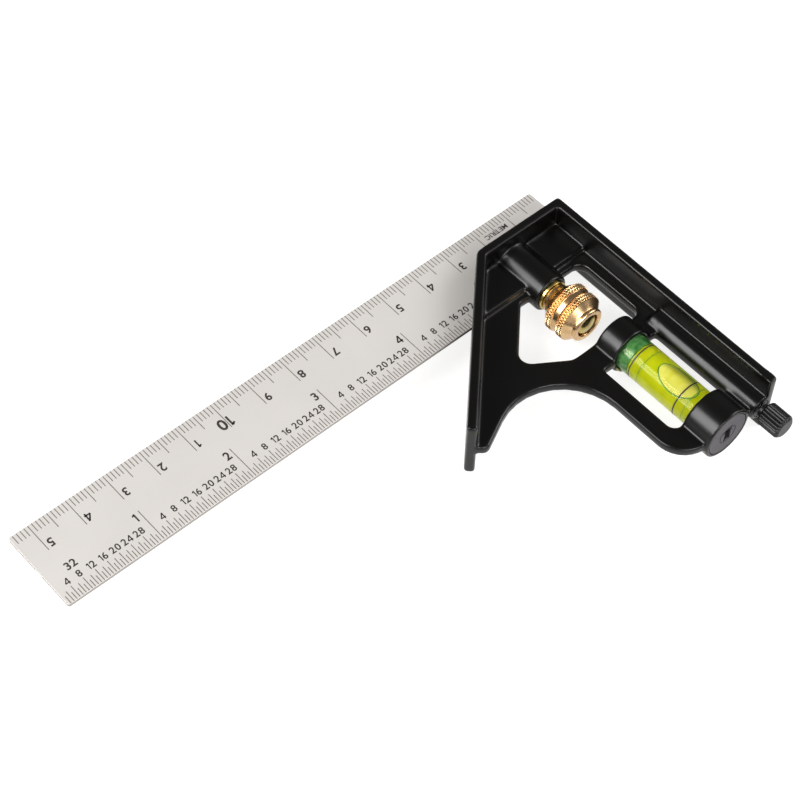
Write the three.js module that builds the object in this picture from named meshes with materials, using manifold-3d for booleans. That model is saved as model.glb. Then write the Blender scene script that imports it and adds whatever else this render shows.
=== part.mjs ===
// A small combination square: a graduated steel blade that slides through a die-cast head with a 90 degree
// face and a 45 degree face, a hooked draw bolt with a knurled brass lock nut, a bubble vial and a scriber.
//
// Design frame, in millimetres: the origin is the corner where the 90 degree face meets the seat face, on
// the middle plane of the head. +X runs along the blade and out of the 90 degree face, +Y runs across the
// blade and away from the head, +Z is up. A "depth" is a distance below the seat face, so y = -depth.
// The finished group is shifted so that the origin lies under the middle of the object, on its rest plane.
import * as THREE from 'three';
import { mergeVertices } from 'three/addons/utils/BufferGeometryUtils.js';
import Module from 'manifold-3d';

const wasm = await Module();
wasm.setup();

// ---------------------------------------------------------------- driving dimensions, in millimetres

// Blade
const BLADE_LENGTH = 155;
const BLADE_WIDTH = 22;
const BLADE_THICKNESS = 1;
const BLADE_ABOVE_SEAT = 10; // how far the metric edge stands proud of the seat face
const BLADE_PAST_FACE = 0.6; // how far the blade's end stands proud of the 90 degree face
const BLADE_CORNER_RADIUS = 0.6;
const GROOVE_WIDTH = 2.4; // groove along the middle of the blade's underside, for the bolt's hook
const GROOVE_CUT = 0.4;

// Head casting
const HEAD_THICKNESS = 17;
const WALL = 2.5; // rim walls
const WEB = 2.6; // the thin plate between the walls
const PAD = 5; // the thicker plate that holds the blade slot
const PAD_DEPTH = 12.5; // lower edge of the pad
const SEAT_LENGTH = 26.8;
const FACE_90_LENGTH = 72.4;
const FACE_45_DROP = 36.9; // the 45 degree face runs this far down, and as far sideways
const SLOT_GAP = 0.15; // clearance on each side of the blade

// Web openings and outline: sharp corners as [x, depth, corner radius]
const WINDOW = [
  [-5.7, 14.4, 2.6],
  [-5.7, 34.9, 2.2],
  [-27.6, 34.5, 3],
  [-38.3, 27.4, 2.8],
  [-25.3, 14.4, 1.2],
];
const VIAL_OPENING = [
  [-7.05, 41.6, 0.6],
  [-7.05, 64.2, 0.6],
  [-24.3, 64.2, 2.4],
  [-24.3, 41.6, 0.6],
];
const WEB_LEFT = -29.1; // straight lower left edge of the web
const HOLLOW_RADIUS = 15.5; // the big hollow under the web
const HOLLOW_DEPTH = 50.2; // its centre
const HOLLOW_END_ANGLE = 116; // degrees, where the hollow's arc runs into the straight toe edge
const TOE_LENGTH = 8.4; // the straight edge between the hollow and the toe of the 45 degree wall
const TOE_RADIUS = 1.4;
const HEEL_RADIUS = 7.8; // rounded lower left corner of the web
const HEEL_STEP = 0.8; // how far the heel stops short of the 90 degree face's end

// Draw bolt and lock nut
const BOLT_X = -17.3;
const BOLT_RADIUS = 2;
const BOLT_GAP = 0.3; // clearance of the bolt in the head
const BOLT_BOSS_RADIUS = 5;
const BOLT_BOSS_END = 16.5;
const SPRING_POCKET_RADIUS = 3.5;
const SPRING_POCKET_START = 13.3;
const SPRING_COILS = 3;
const SPRING_MEAN_RADIUS = 2.75;
const SPRING_WIRE_RADIUS = 0.28;
const BOLT_SHANK_START = 12.95; // above this depth the bolt is cut down to clear the blade
const HOOK_START = 0.75;
const HOOK_LENGTH = 1.3;
const HOOK_RISE = 0.28; // how far the hook reaches into the blade's groove
const BOLT_END = 28.9;
const BOLT_PEEN_RADIUS = 2.4; // the bolt's end is spread so that the nut cannot come off
const BOLT_PEEN_LENGTH = 0.9;
const WASHER_RADIUS = 4.1;
const WASHER_THICKNESS = 0.7;
const NUT_START = 17.35;
const NUT_END = 29.2;
const NUT_RADIUS = 6.6;
const NUT_BORE_RADIUS = 2.15;
const NUT_RECESS_RADIUS = 3.1;
const NUT_RECESS_START = 27.1;

// Vial and its two holders
const VIAL_X = -15;
const VIAL_RADIUS = 4.75;
const VIAL_BORE_RADIUS = 3.9;
const VIAL_START = 36.6;
const VIAL_BORE_START = 43.9;
const VIAL_END = 68.6;
const VIAL_POCKET_RADIUS = 5.05;
const UPPER_HOLDER_RADIUS = 6;
const UPPER_HOLDER_START = 34.8;
const UPPER_HOLDER_END = 41.2;
const UPPER_HOLDER_FLOOR = 1.2;
const LOWER_HOLDER_RADIUS = 6.9;
const LOWER_HOLDER_START = 64;
const STOPPER_LENGTH = 3;
const CUSHION_THICKNESS = 1.4;
const PLUG_RADIUS = 5.9;
const PLUG_THICKNESS = 1.8;
const PLUG_SLOT = [3.9, 1.9, 1.2]; // length, width, depth of the driver slot
const BUBBLE_LENGTH = 11.6;
const BUBBLE_RADIUS = 2.9;
const BUBBLE_START = 50.3;
const BUBBLE_TRAVEL_START = 45.8; // the bubble's channel in the liquid
const BUBBLE_TRAVEL_END = 64.6;
const BEDDING_RADIUS = 5.6;
const BEDDING_LENGTH = 0.7;

// Scriber
const SCRIBER_X = -3.9;
const SCRIBER_BOSS_RADIUS = 3.2;
const SCRIBER_BOSS_START = 37.8;
const SCRIBER_BORE_RADIUS = 1.3;
const SCRIBER_BORE_START = 39.5;
const NEEDLE_RADIUS = 0.9;
const NEEDLE_TIP = 41.5;
const NEEDLE_TAPER = 9;
const NEEDLE_END = 77;
const BUSH_RADIUS = 2.3;
const BUSH_LENGTH = 6;
const BUSH_SPLIT = 0.5;
const KNOB_RADIUS = 3.1;
const KNOB_NECK_RADIUS = 1.9;
const KNOB_NECK_START = 72.8;
const KNOB_START = 73.8;
const KNOB_END = 80;
const KNOB_CHAMFER = 0.7;

// Running clearance between neighbouring pieces, and numbers of facets
const GAP = 0.1;
const BOSS_SIDES = 48;
const BORE_SIDES = 32;
const ARC_STEPS = 5;

// ---------------------------------------------------------------- helpers

// A closed geometry as a solid that can be cut and joined.
function solid(geometry) {
  const bare = geometry.clone();
  bare.deleteAttribute('normal');
  bare.deleteAttribute('uv');
  const merged = mergeVertices(bare, 1e-4);
  return new wasm.Manifold(new wasm.Mesh({
    numProp: 3,
    vertProperties: new Float32Array(merged.attributes.position.array),
    triVerts: new Uint32Array(merged.index.array),
  }));
}

// A cut solid back as flat-shaded geometry.
function geometryOf(body) {
  const mesh = body.getMesh();
  const geometry = new THREE.BufferGeometry();
  geometry.setAttribute('position', new THREE.BufferAttribute(mesh.vertProperties, 3));
  geometry.setIndex(new THREE.BufferAttribute(mesh.triVerts, 1));
  geometry.computeVertexNormals();
  return geometry;
}

// A flat outline raised into a plate between two heights.
function plate(shape, low, high) {
  const geometry = new THREE.ExtrudeGeometry(shape, {
    depth: high - low,
    bevelEnabled: false,
    curveSegments: ARC_STEPS,
  });
  return solid(geometry.translate(0, 0, low));
}

// A box between two corners given as [x, depth, z].
function block([x0, depth0, z0], [x1, depth1, z1]) {
  const geometry = new THREE.BoxGeometry(x1 - x0, depth1 - depth0, z1 - z0);
  return solid(geometry.translate((x0 + x1) / 2, -(depth0 + depth1) / 2, (z0 + z1) / 2));
}

// A round bar that runs down the head between two depths.
function rod(x, radius, startDepth, endDepth, sides = BORE_SIDES) {
  const geometry = new THREE.CylinderGeometry(radius, radius, endDepth - startDepth, sides);
  return solid(geometry.translate(x, -(startDepth + endDepth) / 2, 0));
}

// A turned piece: a closed profile of [radius, depth] points, listed from its far end upwards.
function turned(x, profile, sides = BOSS_SIDES) {
  const points = profile.map(([radius, depth]) => new THREE.Vector2(radius, -depth));
  return new THREE.LatheGeometry(points, sides).translate(x, 0, 0);
}

// A closed path through [x, depth, radius] corners, each rounded by an arc of its radius.
function roundedPath(corners, path = new THREE.Path()) {
  const place = ([x, depth]) => new THREE.Vector2(x, -depth);
  corners.forEach((corner, index) => {
    const radius = corner[2] ?? 0;
    const here = place(corner);
    const toBefore = place(corners.at(index - 1)).sub(here).normalize();
    const toAfter = place(corners[(index + 1) % corners.length]).sub(here).normalize();
    const halfAngle = Math.acos(toBefore.dot(toAfter)) / 2;
    const start = here.clone().addScaledVector(toBefore, radius / Math.tan(halfAngle));
    const end = here.clone().addScaledVector(toAfter, radius / Math.tan(halfAngle));
    if (index === 0) path.moveTo(start.x, start.y);
    else path.lineTo(start.x, start.y);
    if (radius > 0) {
      const inward = toBefore.clone().add(toAfter).normalize();
      const centre = here.clone().addScaledVector(inward, radius / Math.sin(halfAngle));
      const rightTurn = toBefore.cross(toAfter) > 0;
      const from = start.sub(centre).angle();
      const to = end.sub(centre).angle();
      path.absarc(centre.x, centre.y, radius, from, to, rightTurn);
    }
  });
  path.closePath();
  return path;
}

// ---------------------------------------------------------------- blade

// A plate with slightly rounded corners and a square groove along the middle of its underside.
function makeBlade() {
  const right = BLADE_PAST_FACE;
  const left = right - BLADE_LENGTH;
  const top = -BLADE_ABOVE_SEAT;
  const bottom = top + BLADE_WIDTH;
  const outline = roundedPath([
    [left, top, BLADE_CORNER_RADIUS],
    [right, top, BLADE_CORNER_RADIUS],
    [right, bottom, BLADE_CORNER_RADIUS],
    [left, bottom, BLADE_CORNER_RADIUS],
  ], new THREE.Shape());
  const middle = (top + bottom) / 2;
  const underside = -BLADE_THICKNESS / 2;
  const groove = block(
    [left - 1, middle - GROOVE_WIDTH / 2, underside - 1],
    [right + 1, middle + GROOVE_WIDTH / 2, underside + GROOVE_CUT],
  );
  return plate(outline, underside, -underside).subtract(groove);
}

// ---------------------------------------------------------------- head

// The rim walls, seen from above: one bent strip along the 45 degree face, the seat and the 90 degree face.
function wallShape() {
  const slant = WALL * Math.SQRT2; // the 45 degree wall's thickness measured along the seat
  const cornerShift = slant - WALL;
  const endShift = WALL / Math.SQRT2;
  return roundedPath([
    [0, 0, 0.6],
    [0, FACE_90_LENGTH, 0.8],
    [-WALL, FACE_90_LENGTH],
    [-WALL, WALL],
    [-SEAT_LENGTH + cornerShift, WALL],
    [-SEAT_LENGTH - FACE_45_DROP + endShift, FACE_45_DROP + endShift],
    [-SEAT_LENGTH - FACE_45_DROP, FACE_45_DROP],
    [-SEAT_LENGTH, 0, 2.5],
  ], new THREE.Shape());
}

// The web: it starts inside the walls, and its free edge is the heel, the straight left edge, the hollow
// and the toe.
function webShape() {
  const inside = WALL / 2;
  const angle = THREE.MathUtils.degToRad(HOLLOW_END_ANGLE);
  const hollowX = WEB_LEFT - HOLLOW_RADIUS;
  const toeX = hollowX + HOLLOW_RADIUS * Math.cos(angle) - TOE_LENGTH * Math.sin(angle);
  const toeDepth = HOLLOW_DEPTH - HOLLOW_RADIUS * Math.sin(angle) - TOE_LENGTH * Math.cos(angle);
  const heelX = WEB_LEFT + HEEL_RADIUS;
  const heelEnd = FACE_90_LENGTH - HEEL_STEP;
  const heelDepth = heelEnd - HEEL_RADIUS;
  const slantInside = SEAT_LENGTH - inside * Math.SQRT2;

  const shape = new THREE.Shape();
  shape.moveTo(-inside, -inside);
  shape.lineTo(-slantInside - inside, -inside);
  shape.lineTo(-slantInside - FACE_45_DROP - inside / 2, -FACE_45_DROP - inside / 2);
  shape.quadraticCurveTo(toeX - TOE_RADIUS, -toeDepth - TOE_RADIUS / 2, toeX, -toeDepth);
  shape.absarc(hollowX, -HOLLOW_DEPTH, HOLLOW_RADIUS, angle, 0, true);
  shape.absarc(heelX, -heelDepth, HEEL_RADIUS, Math.PI, 1.5 * Math.PI, false);
  shape.lineTo(-inside, -heelEnd);
  shape.closePath();
  shape.holes.push(roundedPath(WINDOW), roundedPath(VIAL_OPENING));
  return shape;
}

// The thick pad around the blade slot, from inside the seat wall to its straight lower edge.
function padShape() {
  const inside = WALL / 2;
  const slant = SEAT_LENGTH - inside * Math.SQRT2;
  return roundedPath([
    [-inside, inside],
    [-inside, PAD_DEPTH],
    [-slant - PAD_DEPTH, PAD_DEPTH],
    [-slant - inside, inside],
  ], new THREE.Shape());
}

// Everything that is cut from the head: the blade slot, the bolt's way, the vial's and the scriber's bores.
function headCuts() {
  const bladeEdge = BLADE_WIDTH - BLADE_ABOVE_SEAT;
  const slotHalf = BLADE_THICKNESS / 2 + SLOT_GAP;
  const past = 2; // how far a cut runs past a free face
  const boltWay = BOLT_RADIUS + BOLT_GAP;
  const slot = block([-2 * SEAT_LENGTH, -past, -slotHalf], [past, bladeEdge + 2 * SLOT_GAP, slotHalf]);
  const hookWay = rod(BOLT_X, boltWay, -past, bladeEdge + 2 * SLOT_GAP)
    .subtract(block([BOLT_X - boltWay, -2 * past, 0], [BOLT_X + boltWay, BOLT_BOSS_END, boltWay]));
  return [
    slot,
    hookWay,
    rod(BOLT_X, boltWay, bladeEdge, BOLT_BOSS_END),
    rod(BOLT_X, SPRING_POCKET_RADIUS, SPRING_POCKET_START, BOLT_BOSS_END + past),
    rod(VIAL_X, VIAL_POCKET_RADIUS, UPPER_HOLDER_START + UPPER_HOLDER_FLOOR, FACE_90_LENGTH, BOSS_SIDES),
    rod(VIAL_X, PLUG_RADIUS + GAP, FACE_90_LENGTH - PLUG_THICKNESS - GAP, FACE_90_LENGTH + past, BOSS_SIDES),
    rod(SCRIBER_X, SCRIBER_BORE_RADIUS, SCRIBER_BORE_START, FACE_90_LENGTH + past),
    rod(SCRIBER_X, BUSH_RADIUS + GAP / 2, FACE_90_LENGTH - BUSH_LENGTH - GAP, FACE_90_LENGTH + past),
  ];
}

// The whole head is one casting: walls, web, pad and four round bosses, less the cuts.
function makeHead() {
  const parts = [
    plate(wallShape(), -HEAD_THICKNESS / 2, HEAD_THICKNESS / 2),
    plate(webShape(), -WEB / 2, WEB / 2),
    plate(padShape(), -PAD / 2, PAD / 2),
    rod(BOLT_X, BOLT_BOSS_RADIUS, WALL / 2, BOLT_BOSS_END, BOSS_SIDES),
    rod(VIAL_X, UPPER_HOLDER_RADIUS, UPPER_HOLDER_START, UPPER_HOLDER_END, BOSS_SIDES),
    rod(VIAL_X, LOWER_HOLDER_RADIUS, LOWER_HOLDER_START, FACE_90_LENGTH, BOSS_SIDES),
    rod(SCRIBER_X, SCRIBER_BOSS_RADIUS, SCRIBER_BOSS_START, FACE_90_LENGTH, BOSS_SIDES),
  ];
  const casting = parts.reduce((whole, part) => whole.add(part));
  return headCuts().reduce((whole, cut) => whole.subtract(cut), casting);
}

// ---------------------------------------------------------------- draw bolt, washer, spring and nut

// The bolt: a round shank, cut down to a half section beside the blade, with a hook at its top that
// stands in the blade's groove, and a spread end that keeps the nut on.
function makeDrawBolt() {
  const underBlade = -BLADE_THICKNESS / 2 - 2 * GAP;
  const tallCut = block(
    [BOLT_X - 2 * BOLT_RADIUS, HOOK_START - 1, underBlade],
    [BOLT_X + 2 * BOLT_RADIUS, BOLT_SHANK_START, 2 * BOLT_RADIUS],
  );
  const hook = block(
    [BOLT_X - BOLT_RADIUS * 0.8, HOOK_START, underBlade - 0.2],
    [BOLT_X + BOLT_RADIUS * 0.8, HOOK_START + HOOK_LENGTH, -BLADE_THICKNESS / 2 + HOOK_RISE],
  );
  const peenStart = BOLT_END - BOLT_PEEN_LENGTH;
  const peen = solid(turned(BOLT_X, [
    [0, BOLT_END],
    [BOLT_PEEN_RADIUS * 0.55, BOLT_END - 0.1],
    [BOLT_PEEN_RADIUS * 0.85, BOLT_END - 0.35],
    [BOLT_PEEN_RADIUS, peenStart + 0.2],
    [BOLT_PEEN_RADIUS, peenStart],
    [0, peenStart],
  ], BORE_SIDES));
  return rod(BOLT_X, BOLT_RADIUS, HOOK_START, peenStart + 0.3).subtract(tallCut).add(hook).add(peen);
}

// A flat ring between the head and the nut.
function makeWasher() {
  const start = BOLT_BOSS_END + GAP / 2;
  return rod(BOLT_X, WASHER_RADIUS, start, start + WASHER_THICKNESS, BOSS_SIDES)
    .subtract(rod(BOLT_X, NUT_BORE_RADIUS, start - 1, start + WASHER_THICKNESS + 1));
}

// A round wire wound as a helix about the bolt, in the pocket of the boss.
class Helix extends THREE.Curve {
  getPoint(t, target = new THREE.Vector3()) {
    const angle = 2 * Math.PI * SPRING_COILS * t;
    const room = SPRING_WIRE_RADIUS + GAP;
    const start = SPRING_POCKET_START + room;
    const end = BOLT_BOSS_END - room;
    return target.set(
      BOLT_X + SPRING_MEAN_RADIUS * Math.cos(angle),
      -(start + (end - start) * t),
      SPRING_MEAN_RADIUS * Math.sin(angle),
    );
  }
}

function makeSpring() {
  const wire = new THREE.Shape();
  wire.absarc(0, 0, SPRING_WIRE_RADIUS, 0, 2 * Math.PI, false);
  return new THREE.ExtrudeGeometry(wire, {
    steps: 22 * SPRING_COILS,
    curveSegments: 4,
    extrudePath: new Helix(),
  });
}

// The nut: a coned neck, two knurled bands with a groove between them, a cone, and a lipped end with a
// recess for the bolt's spread end. The knurl itself is left plain here.
function makeLockNut() {
  const R = NUT_RADIUS;
  return turned(BOLT_X, [
    [NUT_BORE_RADIUS, NUT_START],
    [NUT_BORE_RADIUS, NUT_RECESS_START],
    [NUT_RECESS_RADIUS, NUT_RECESS_START],
    [NUT_RECESS_RADIUS, NUT_END - 0.4],
    [NUT_RECESS_RADIUS + 0.3, NUT_END],
    [R * 0.66, NUT_END],
    [R * 0.7, NUT_END - 0.3],
    [R * 0.7, NUT_END - 0.8],
    [R * 0.67, NUT_END - 1.1],
    [R * 0.93, NUT_END - 2.7],
    [R * 0.98, NUT_END - 2.9],
    [R * 0.98, NUT_END - 4.7],
    [R * 0.92, NUT_END - 4.9],
    [R * 0.92, NUT_END - 6.3],
    [R, NUT_END - 6.5],
    [R, NUT_END - 8.1],
    [R * 0.93, NUT_END - 8.3],
    [R * 0.6, NUT_START + 1.2],
    [R * 0.55, NUT_START],
    [NUT_BORE_RADIUS, NUT_START],
  ]);
}

// ---------------------------------------------------------------- vial

// A clear tube, closed at its upper end.
function makeVialTube() {
  return rod(VIAL_X, VIAL_RADIUS, VIAL_START, VIAL_END, BOSS_SIDES)
    .subtract(rod(VIAL_X, VIAL_BORE_RADIUS, VIAL_BORE_START, VIAL_END + 1, BOSS_SIDES));
}

// A rounded bar: a cylinder with a half ball at each end, scaled to a given length.
function capsule(x, z, radius, startDepth, endDepth, sides) {
  const geometry = new THREE.CapsuleGeometry(radius, endDepth - startDepth - 2 * radius, 5, sides);
  return solid(geometry.translate(x, -(startDepth + endDepth) / 2, z));
}

const BUBBLE_Z = VIAL_BORE_RADIUS - GAP - BUBBLE_RADIUS - GAP;

// The bubble lies against the top of the bore.
function makeBubble() {
  return capsule(VIAL_X, BUBBLE_Z, BUBBLE_RADIUS, BUBBLE_START, BUBBLE_START + BUBBLE_LENGTH, 20);
}

// The liquid fills the bore and leaves a channel along its top for the bubble to run in.
function makeLiquid() {
  const end = VIAL_END - STOPPER_LENGTH - GAP;
  const channel = capsule(VIAL_X, BUBBLE_Z, BUBBLE_RADIUS + GAP, BUBBLE_TRAVEL_START, BUBBLE_TRAVEL_END, 20);
  const opening = block(
    [VIAL_X - 0.6, BUBBLE_TRAVEL_START + BUBBLE_RADIUS, BUBBLE_Z],
    [VIAL_X + 0.6, BUBBLE_TRAVEL_END - BUBBLE_RADIUS, VIAL_RADIUS],
  );
  return rod(VIAL_X, VIAL_BORE_RADIUS - GAP, VIAL_BORE_START + GAP, end, BOSS_SIDES)
    .subtract(channel)
    .subtract(opening);
}

function makeStopper() {
  return rod(VIAL_X, VIAL_BORE_RADIUS - GAP, VIAL_END - STOPPER_LENGTH, VIAL_END);
}

function makeCushion() {
  const start = VIAL_END + GAP;
  return rod(VIAL_X, VIAL_RADIUS, start, start + CUSHION_THICKNESS);
}

// The slotted disc that closes the lower holder, with a shallow ring turned around its slot.
function makePlug() {
  const start = FACE_90_LENGTH - PLUG_THICKNESS;
  const [slotLength, slotWidth, slotDepth] = PLUG_SLOT;
  const ringRadius = slotLength / 2 + 0.75;
  const ring = rod(VIAL_X, ringRadius, FACE_90_LENGTH - 0.3, FACE_90_LENGTH + 1)
    .subtract(rod(VIAL_X, ringRadius - 0.35, FACE_90_LENGTH - 1, FACE_90_LENGTH + 2));
  const slot = block(
    [VIAL_X - slotWidth / 2, FACE_90_LENGTH - slotDepth, -slotLength / 2],
    [VIAL_X + slotWidth / 2, FACE_90_LENGTH + 1, slotLength / 2],
  );
  return rod(VIAL_X, PLUG_RADIUS, start, FACE_90_LENGTH - GAP, BOSS_SIDES).subtract(ring).subtract(slot);
}

// A bead of bedding compound that has been squeezed out under the upper holder.
function makeBedding() {
  const start = UPPER_HOLDER_END + GAP;
  const ring = rod(VIAL_X, BEDDING_RADIUS, start, start + BEDDING_LENGTH, BOSS_SIDES)
    .subtract(rod(VIAL_X, VIAL_RADIUS + GAP, start - 1, start + BEDDING_LENGTH + 1, BOSS_SIDES));
  const lowerHalf = block(
    [VIAL_X - 2 * BEDDING_RADIUS, start - 1, -2 * BEDDING_RADIUS],
    [VIAL_X + 2 * BEDDING_RADIUS, start + BEDDING_LENGTH + 1, -WEB / 2],
  );
  return ring.intersect(lowerHalf);
}

// ---------------------------------------------------------------- scriber

// A split spring bush that grips the needle.
function makeBush() {
  const start = FACE_90_LENGTH - BUSH_LENGTH;
  return rod(SCRIBER_X, BUSH_RADIUS, start, FACE_90_LENGTH - GAP)
    .subtract(rod(SCRIBER_X, NEEDLE_RADIUS + GAP, start - 1, FACE_90_LENGTH + 1))
    .subtract(block(
      [SCRIBER_X - BUSH_SPLIT / 2, start - 1, 0],
      [SCRIBER_X + BUSH_SPLIT / 2, FACE_90_LENGTH + 1, 2 * BUSH_RADIUS],
    ));
}

function makeNeedle() {
  return turned(SCRIBER_X, [
    [0, NEEDLE_END],
    [NEEDLE_RADIUS, NEEDLE_END],
    [NEEDLE_RADIUS, NEEDLE_TIP + NEEDLE_TAPER],
    [0, NEEDLE_TIP],
  ], 24);
}

// The finger knob: a short neck and a plain round grip with chamfered ends, bored for the needle.
function makeKnob() {
  const bore = NEEDLE_RADIUS + GAP / 2;
  return turned(SCRIBER_X, [
    [0, KNOB_END],
    [KNOB_RADIUS - KNOB_CHAMFER, KNOB_END],
    [KNOB_RADIUS, KNOB_END - KNOB_CHAMFER],
    [KNOB_RADIUS, KNOB_START + KNOB_CHAMFER / 2],
    [KNOB_RADIUS - KNOB_CHAMFER / 2, KNOB_START],
    [KNOB_NECK_RADIUS, KNOB_START],
    [KNOB_NECK_RADIUS, KNOB_NECK_START],
    [bore, KNOB_NECK_START],
    [bore, NEEDLE_END + GAP],
    [0, NEEDLE_END + GAP],
  ]);
}

// ---------------------------------------------------------------- assembly

const square = new THREE.Group();

function addPiece(name, shape, color, roughness, metalness) {
  const geometry = shape.isBufferGeometry ? shape : geometryOf(shape);
  const piece = new THREE.Mesh(geometry, new THREE.MeshStandardMaterial({ color, roughness, metalness }));
  piece.name = name;
  square.add(piece);
}

addPiece('blade', makeBlade(), 0xdcd8d2, 0.35, 1);
addPiece('head_casting', makeHead(), 0x121110, 0.4, 0);
addPiece('draw_bolt', makeDrawBolt(), 0xa8904c, 0.35, 1);
addPiece('bolt_spring', makeSpring(), 0x8c8f94, 0.35, 1);
addPiece('nut_washer', makeWasher(), 0xcdb562, 0.3, 1);
addPiece('lock_nut', makeLockNut(), 0xd9a860, 0.28, 1);
addPiece('vial_tube', makeVialTube(), 0xd8e64a, 0.05, 0);
addPiece('vial_liquid', makeLiquid(), 0xc8e000, 0.05, 0);
addPiece('vial_bubble', makeBubble(), 0xf0f0c0, 0.05, 0);
addPiece('vial_stopper', makeStopper(), 0x8fae1c, 0.3, 0);
addPiece('vial_bedding', makeBedding(), 0x6b6a1e, 0.6, 0);
addPiece('vial_cushion', makeCushion(), 0x1c1c1c, 0.9, 0);
addPiece('holder_plug', makePlug(), 0x3a363c, 0.5, 0);
addPiece('scriber_bush', makeBush(), 0x262426, 0.5, 0);
addPiece('scriber_needle', makeNeedle(), 0xc4c6c8, 0.2, 1);
addPiece('scriber_knob', makeKnob(), 0x262426, 0.5, 0);

// Shift the origin from the design corner to the bottom centre of the whole object.
const middleX = BLADE_PAST_FACE - BLADE_LENGTH / 2;
const middleDepth = (KNOB_END - BLADE_ABOVE_SEAT) / 2;
square.position.set(-middleX, middleDepth, HEAD_THICKNESS / 2);

export default square;
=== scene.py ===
"""The looks of a small combination square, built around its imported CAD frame.

Every piece is placed from the frame: the blade, the softened head casting, the draw bolt with its spring
and washer, the knurled nut, the bubble vial, the holder's plug and the scriber. All sizes are in metres,
and the helper functions take millimetres where their names say so.
"""

import math

import bmesh
import bpy
import numpy as np
import openvdb
from mathutils import Matrix, Vector


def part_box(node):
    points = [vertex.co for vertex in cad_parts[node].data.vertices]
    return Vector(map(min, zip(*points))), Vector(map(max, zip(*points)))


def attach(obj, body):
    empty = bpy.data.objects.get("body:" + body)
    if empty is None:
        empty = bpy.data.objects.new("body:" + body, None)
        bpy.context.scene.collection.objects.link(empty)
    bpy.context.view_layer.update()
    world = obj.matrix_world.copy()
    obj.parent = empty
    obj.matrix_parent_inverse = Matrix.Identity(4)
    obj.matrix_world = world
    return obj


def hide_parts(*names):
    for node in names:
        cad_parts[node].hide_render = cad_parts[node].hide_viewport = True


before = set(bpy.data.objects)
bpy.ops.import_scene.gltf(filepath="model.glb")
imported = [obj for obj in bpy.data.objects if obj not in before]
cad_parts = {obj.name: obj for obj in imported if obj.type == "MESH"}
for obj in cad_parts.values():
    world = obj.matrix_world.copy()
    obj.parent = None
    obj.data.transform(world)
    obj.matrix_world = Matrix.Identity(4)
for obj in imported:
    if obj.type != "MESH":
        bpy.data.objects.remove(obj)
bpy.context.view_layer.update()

bl_info = {
    "name": "Combination square",
    "version": (1, 0, 0),
    "blender": (4, 5, 0),
    "location": "3D View > Sidebar > Square",
    "description": "Builds the finished looks of a combination square around its CAD frame",
    "category": "Object",
}

MM = 0.001
INCH = 25.4 * MM

# Faces that meet at less than this angle are shaded as one smooth surface
SMOOTH_ANGLE = math.radians(38)
# Points nearer to each other than this become one, in CAD solids and in made surfaces
CAD_MERGE = 0.001 * MM
SURFACE_MERGE = 0.0005 * MM


# ---------------------------------------------------------------- places that come from the frame


def box_of(node):
    """The lowest and highest corner of a CAD node, as two numpy rows."""
    low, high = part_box(node)
    return np.array(low), np.array(high)


def axis_of(node):
    """The X and Z of the line that a turned piece is turned about: the middle of its box."""
    low, high = box_of(node)
    middle = (low + high) / 2
    return middle[0], middle[2]


BLADE_LOW, BLADE_HIGH = box_of("blade")
HEAD_LOW, HEAD_HIGH = box_of("head_casting")
SEAT = HEAD_HIGH[1]
FACE_90 = HEAD_HIGH[0]
MIDDLE = (HEAD_LOW[2] + HEAD_HIGH[2]) / 2
BOLT_AXIS = axis_of("lock_nut")
VIAL_AXIS = axis_of("vial_tube")
SCRIBER_AXIS = axis_of("scriber_knob")


def depth_of(node):
    """Where a node starts and ends, as distances below the seat face."""
    low, high = box_of(node)
    return SEAT - high[1], SEAT - low[1]


# ---------------------------------------------------------------- colours and materials


def linear(hex_colour):
    """An sRGB hex colour as linear light with alpha: c / 12.92 in the darkest part, else a 2.4 power."""
    parts = [int(hex_colour[start:start + 2], 16) / 255 for start in (1, 3, 5)]
    curve = [part / 12.92 if part <= 0.04045 else ((part + 0.055) / 1.055) ** 2.4 for part in parts]
    return (*curve, 1.0)


def add_node(tree, kind, settings=None, inputs=None):
    """Adds a shader node, sets its attributes, and gives each named input a value or a link."""
    made = tree.nodes.new(kind)
    for name, value in (settings or {}).items():
        setattr(made, name, value)
    for name, value in (inputs or {}).items():
        if isinstance(value, bpy.types.NodeSocket):
            tree.links.new(value, made.inputs[name])
        else:
            made.inputs[name].default_value = value
    return made


def new_material(name):
    """An empty node material and its tree."""
    material = bpy.data.materials.new(name)
    material.use_nodes = True
    material.node_tree.nodes.clear()
    return material, material.node_tree


def finish_material(tree, shader_inputs):
    """Ends a tree with the principled shader and the material's output."""
    shader = add_node(tree, "ShaderNodeBsdfPrincipled", inputs=shader_inputs)
    add_node(tree, "ShaderNodeOutputMaterial", inputs={"Surface": shader.outputs["BSDF"]})


def pattern_place(tree, scale=(1, 1, 1), centre=(0, 0, 0), turn=(0, 0, 0)):
    """Object coordinates, moved so that centre is their origin, then turned and stretched."""
    place = add_node(tree, "ShaderNodeTexCoord")
    moved = add_node(
        tree,
        "ShaderNodeMapping",
        inputs={"Vector": place.outputs["Object"], "Location": [-part for part in centre]},
    )
    stretched = add_node(
        tree,
        "ShaderNodeMapping",
        inputs={"Vector": moved.outputs["Vector"], "Rotation": turn, "Scale": scale},
    )
    return stretched.outputs["Vector"]


def noise(tree, place, size, detail=3.0):
    """A noise pattern whose blotches are about size metres across."""
    made = add_node(
        tree,
        "ShaderNodeTexNoise",
        inputs={"Vector": place, "Scale": 1 / size, "Detail": detail},
    )
    return made.outputs["Fac"]


def spread(tree, value, low, high):
    """A pattern's middle range, 0.3 to 0.7, stretched to run from low to high."""
    made = add_node(
        tree,
        "ShaderNodeMapRange",
        inputs={"Value": value, "From Min": 0.3, "From Max": 0.7, "To Min": low, "To Max": high},
    )
    return made.outputs["Result"]


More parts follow.
